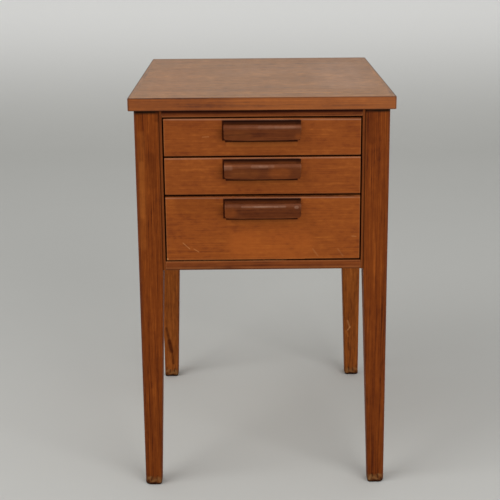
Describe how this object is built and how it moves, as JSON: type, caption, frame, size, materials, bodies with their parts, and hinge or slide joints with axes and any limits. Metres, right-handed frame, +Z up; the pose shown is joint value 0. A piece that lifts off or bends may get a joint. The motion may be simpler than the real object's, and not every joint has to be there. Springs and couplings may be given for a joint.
{
  "type": "nightstand",
  "caption": "Small wooden nightstand with a stack of inset drawers, moulded finger pulls and slim tapered legs.",
  "frame": {"origin": "on the floor, under the middle of the closed nightstand's bounding box", "axes": "+Z up, the drawers open towards -Y, +X to the right of someone facing them"},
  "size_m": [0.371, 0.4864, 0.582],
  "materials": {
    "top_veneer": "teak veneer, matt oil, slightly greyed by light",
    "lipping_wood": "solid teak, matt oil",
    "leg_teak": "solid teak, matt oil",
    "side_teak": "teak, matt oil",
    "rail_teak": "solid teak, matt oil",
    "upper_front_teak": "teak, matt oil, grain across",
    "middle_front_teak": "teak, matt oil, grain across",
    "lower_front_teak": "teak, matt oil, grain across",
    "pull_dark_wood": "dark solid wood, satin from handling",
    "carcass_wood": "plain wood, unfinished",
    "drawer_beech": "pale wood, unfinished",
    "runner_beech": "pale wood, waxed by use",
    "plywood": "plywood, unfinished",
    "dowel_beech": "pale wood dowel",
    "screw_steel": "plain steel",
    "nail_steel": "plain steel"
  },
  "bodies": {
    "cabinet": {"top_board": "top_veneer", "top_lipping_front": "lipping_wood", "top_lipping_right": "lipping_wood", "top_lipping_back": "lipping_wood", "top_lipping_left": "lipping_wood", "leg_front_left": "leg_teak", "leg_front_right": "leg_teak", "leg_rear_left": "leg_teak", "leg_rear_right": "leg_teak", "side_panel_left": "side_teak", "side_panel_right": "side_teak", "back_panel": "plywood", "bottom_panel": "carcass_wood", "bottom_front_rail": "rail_teak", "top_front_rail": "rail_teak", "top_rear_rail": "carcass_wood", "kicker_left": "carcass_wood", "kicker_right": "carcass_wood", "upper_runner_left": "runner_beech", "upper_runner_right": "runner_beech", "middle_runner_left": "runner_beech", "middle_runner_right": "runner_beech", "lower_runner_left": "runner_beech", "lower_runner_right": "runner_beech", "leg_dowels": "dowel_beech", "rail_dowels": "dowel_beech", "runner_screws": "screw_steel", "top_screws": "screw_steel", "back_panel_nails": "nail_steel"},
    "upper_drawer": {"upper_drawer_front": "upper_front_teak", "upper_drawer_side_left": "drawer_beech", "upper_drawer_side_right": "drawer_beech", "upper_drawer_back": "drawer_beech", "upper_drawer_bottom": "plywood", "upper_pull": "pull_dark_wood", "upper_pull_screws": "screw_steel", "upper_bottom_nails": "nail_steel"},
    "middle_drawer": {"middle_drawer_front": "middle_front_teak", "middle_drawer_side_left": "drawer_beech", "middle_drawer_side_right": "drawer_beech", "middle_drawer_back": "drawer_beech", "middle_drawer_bottom": "plywood", "middle_pull": "pull_dark_wood", "middle_pull_screws": "screw_steel", "middle_bottom_nails": "nail_steel"},
    "lower_drawer": {"lower_drawer_front": "lower_front_teak", "lower_drawer_side_left": "drawer_beech", "lower_drawer_side_right": "drawer_beech", "lower_drawer_back": "drawer_beech", "lower_drawer_bottom": "plywood", "lower_pull": "pull_dark_wood", "lower_pull_screws": "screw_steel", "lower_bottom_nails": "nail_steel"}
  },
  "joints": [
    {"name": "upper_drawer_slide", "type": "slide", "parent": "cabinet", "child": "upper_drawer", "axis": [0, -1, 0], "range_m": [0, 0.3]},
    {"name": "middle_drawer_slide", "type": "slide", "parent": "cabinet", "child": "middle_drawer", "axis": [0, -1, 0], "range_m": [0, 0.3]},
    {"name": "lower_drawer_slide", "type": "slide", "parent": "cabinet", "child": "lower_drawer", "axis": [0, -1, 0], "range_m": [0, 0.3]}
  ]
}
